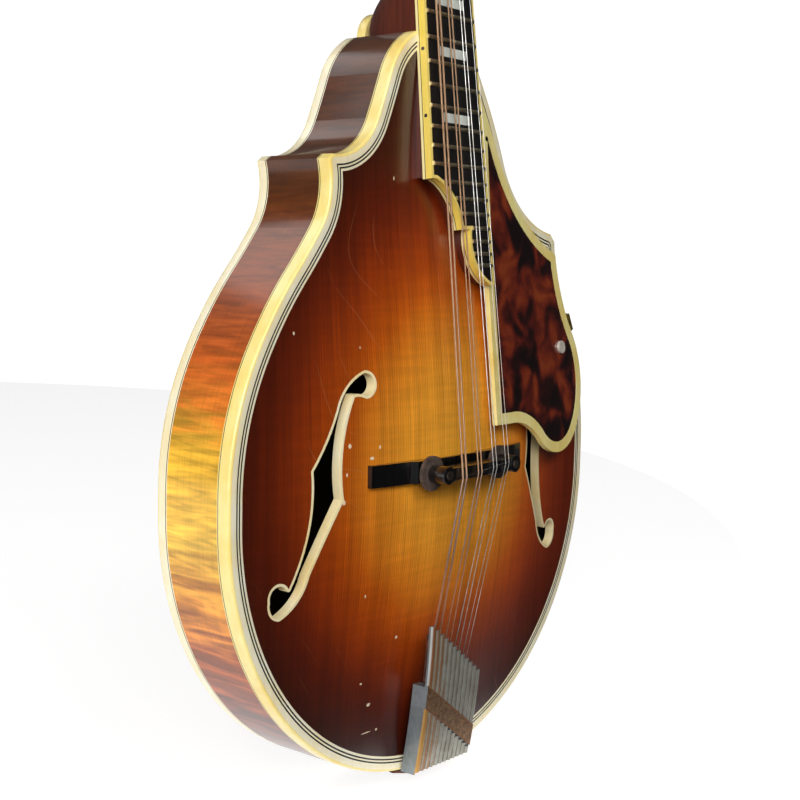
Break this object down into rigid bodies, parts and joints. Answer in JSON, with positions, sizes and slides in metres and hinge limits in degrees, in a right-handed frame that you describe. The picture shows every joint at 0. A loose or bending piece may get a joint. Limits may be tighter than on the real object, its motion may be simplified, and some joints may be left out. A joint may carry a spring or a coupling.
{
  "type": "mandolin",
  "caption": "Carved two-point mandolin with f-holes, bound body, raised fingerboard, adjustable bridge, pickguard, ribbed tailpiece and geared tuners.",
  "frame": {"origin": "where the end pin's axis meets the tail of the rim, at mid rim depth", "axes": "+Z from the tail along the body towards the headstock, -Y out of the front (strings), +X towards the treble side"},
  "size_m": [0.26, 0.1147, 0.6527],
  "materials": {
    "spruce_top": "gloss lacquer over a sunburst stain",
    "maple_body": "gloss lacquer over a stained, flamed maple",
    "inner_wood": "raw",
    "ivoroid": "polished, yellowed",
    "purfling": "polished black and cream lines",
    "maple_neck": "gloss lacquer, dark red-brown",
    "steel": "plain",
    "ebony_board": "oiled, fine open pores",
    "nickel_silver": "worn polish",
    "pearl": "iridescent",
    "bone": "satin",
    "black_veneer": "gloss lacquer",
    "black_plastic": "polished",
    "nickel": "aged plating",
    "pearloid": "polished, clouded",
    "ebony": "polished",
    "aged_brass": "dull, oxidised",
    "tortoiseshell": "polished, clouded red and black",
    "worn_nickel": "dull nickel with brass showing through",
    "rusty_steel": "rusted",
    "bronze_string": "wound",
    "steel_string": "plain"
  },
  "bodies": {
    "instrument": {"top_plate": "spruce_top", "back_plate": "maple_body", "ribs": "maple_body", "body_blocks": "inner_wood", "linings": "inner_wood", "tone_bars": "inner_wood", "top_binding": "ivoroid", "top_purfling": "purfling", "back_binding": "ivoroid", "f_hole_bindings": "ivoroid", "neck": "maple_neck", "heel_cap": "ivoroid", "truss_rod": "steel", "fingerboard": "ebony_board", "fingerboard_binding": "ivoroid", "frets": "nickel_silver", "position_markers": "pearl", "nut": "bone", "headstock_overlay": "black_veneer", "truss_rod_cover": "black_plastic", "tuner_plates": "nickel", "post_bushings": "nickel", "screws": "nickel", "bridge_base": "ebony", "bridge_studs": "aged_brass", "pickguard": "tortoiseshell", "pickguard_binding": "ivoroid", "pickguard_bracket": "nickel", "tailpiece_cover": "worn_nickel", "tailpiece_base": "rusty_steel", "end_pin": "black_plastic", "wound_strings": "bronze_string", "plain_strings": "steel_string"},
    "saddle": {"bridge_saddle": "ebony"},
    "bass_wheel": {"bass_thumbwheel": "aged_brass"},
    "treble_wheel": {"treble_thumbwheel": "aged_brass"},
    "button_1": {"tuner_button_1": "pearloid", "worm_shaft_1": "nickel"},
    "post_1": {"string_post_1": "nickel"},
    "button_2": {"tuner_button_2": "pearloid", "worm_shaft_2": "nickel"},
    "post_2": {"string_post_2": "nickel"},
    "button_3": {"tuner_button_3": "pearloid", "worm_shaft_3": "nickel"},
    "post_3": {"string_post_3": "nickel"},
    "button_4": {"tuner_button_4": "pearloid", "worm_shaft_4": "nickel"},
    "post_4": {"string_post_4": "nickel"},
    "button_5": {"tuner_button_5": "pearloid", "worm_shaft_5": "nickel"},
    "post_5": {"string_post_5": "nickel"},
    "button_6": {"tuner_button_6": "pearloid", "worm_shaft_6": "nickel"},
    "post_6": {"string_post_6": "nickel"},
    "button_7": {"tuner_button_7": "pearloid", "worm_shaft_7": "nickel"},
    "post_7": {"string_post_7": "nickel"},
    "button_8": {"tuner_button_8": "pearloid", "worm_shaft_8": "nickel"},
    "post_8": {"string_post_8": "nickel"}
  },
  "joints": [
    {"name": "saddle_height", "type": "slide", "parent": "instrument", "child": "saddle", "axis": [0, -1, 0], "range_m": [-0.0005, 0.001], "deforming": ["wound_strings", "plain_strings"]},
    {"name": "bass_wheel_turn", "type": "hinge", "parent": "saddle", "child": "bass_wheel", "pos_m": [-0.0255, -0.0396, 0.1426], "axis": [0, -1, 0], "range_deg": [-225.1, 450.1]},
    {"name": "treble_wheel_turn", "type": "hinge", "parent": "saddle", "child": "treble_wheel", "pos_m": [0.0255, -0.0396, 0.1426], "axis": [0, -1, 0], "range_deg": [-225.1, 450.1]},
    {"name": "button_1_turn", "type": "hinge", "parent": "instrument", "child": "button_1", "pos_m": [-0.0205, 0.0292, 0.53942], "axis": [1, 0, 0], "continuous": true},
    {"name": "post_1_turn", "type": "hinge", "parent": "instrument", "child": "post_1", "pos_m": [-0.0205, 0.02703, 0.53382], "axis": [0, 0.9328, -0.3603], "continuous": true},
    {"name": "button_2_turn", "type": "hinge", "parent": "instrument", "child": "button_2", "pos_m": [-0.0205, 0.03748, 0.56087], "axis": [1, 0, 0], "continuous": true},
    {"name": "post_2_turn", "type": "hinge", "parent": "instrument", "child": "post_2", "pos_m": [-0.0205, 0.03532, 0.55527], "axis": [0, 0.9328, -0.3603], "continuous": true},
    {"name": "button_3_turn", "type": "hinge", "parent": "instrument", "child": "button_3", "pos_m": [-0.0205, 0.04577, 0.58233], "axis": [1, 0, 0], "continuous": true},
    {"name": "post_3_turn", "type": "hinge", "parent": "instrument", "child": "post_3", "pos_m": [-0.0205, 0.04361, 0.57673], "axis": [0, 0.9328, -0.3603], "continuous": true},
    {"name": "button_4_turn", "type": "hinge", "parent": "instrument", "child": "button_4", "pos_m": [-0.0205, 0.05406, 0.60378], "axis": [1, 0, 0], "continuous": true},
    {"name": "post_4_turn", "type": "hinge", "parent": "instrument", "child": "post_4", "pos_m": [-0.0205, 0.0519, 0.59818], "axis": [0, 0.9328, -0.3603], "continuous": true},
    {"name": "button_5_turn", "type": "hinge", "parent": "instrument", "child": "button_5", "pos_m": [0.0205, 0.0292, 0.53942], "axis": [1, 0, 0], "continuous": true},
    {"name": "post_5_turn", "type": "hinge", "parent": "instrument", "child": "post_5", "pos_m": [0.0205, 0.02703, 0.53382], "axis": [0, 0.9328, -0.3603], "continuous": true},
    {"name": "button_6_turn", "type": "hinge", "parent": "instrument", "child": "button_6", "pos_m": [0.0205, 0.03748, 0.56087], "axis": [1, 0, 0], "continuous": true},
    {"name": "post_6_turn", "type": "hinge", "parent": "instrument", "child": "post_6", "pos_m": [0.0205, 0.03532, 0.55527], "axis": [0, 0.9328, -0.3603], "continuous": true},
    {"name": "button_7_turn", "type": "hinge", "parent": "instrument", "child": "button_7", "pos_m": [0.0205, 0.04577, 0.58233], "axis": [1, 0, 0], "continuous": true},
    {"name": "post_7_turn", "type": "hinge", "parent": "instrument", "child": "post_7", "pos_m": [0.0205, 0.04361, 0.57673], "axis": [0, 0.9328, -0.3603], "continuous": true},
    {"name": "button_8_turn", "type": "hinge", "parent": "instrument", "child": "button_8", "pos_m": [0.0205, 0.05406, 0.60378], "axis": [1, 0, 0], "continuous": true},
    {"name": "post_8_turn", "type": "hinge", "parent": "instrument", "child": "post_8", "pos_m": [0.0205, 0.0519, 0.59818], "axis": [0, 0.9328, -0.3603], "continuous": true}
  ],
  "couplings": [
    {"joint": "bass_wheel_turn", "follows": "saddle_height", "rad_per_m": 7854},
    {"joint": "treble_wheel_turn", "follows": "saddle_height", "rad_per_m": 7854},
    {"joint": "post_1_turn", "follows": "button_1_turn", "ratio": -0.071429},
    {"joint": "post_2_turn", "follows": "button_2_turn", "ratio": -0.071429},
    {"joint": "post_3_turn", "follows": "button_3_turn", "ratio": -0.071429},
    {"joint": "post_4_turn", "follows": "button_4_turn", "ratio": -0.071429},
    {"joint": "post_5_turn", "follows": "button_5_turn", "ratio": -0.071429},
    {"joint": "post_6_turn", "follows": "button_6_turn", "ratio": -0.071429},
    {"joint": "post_7_turn", "follows": "button_7_turn", "ratio": -0.071429},
    {"joint": "post_8_turn", "follows": "button_8_turn", "ratio": -0.071429}
  ]
}
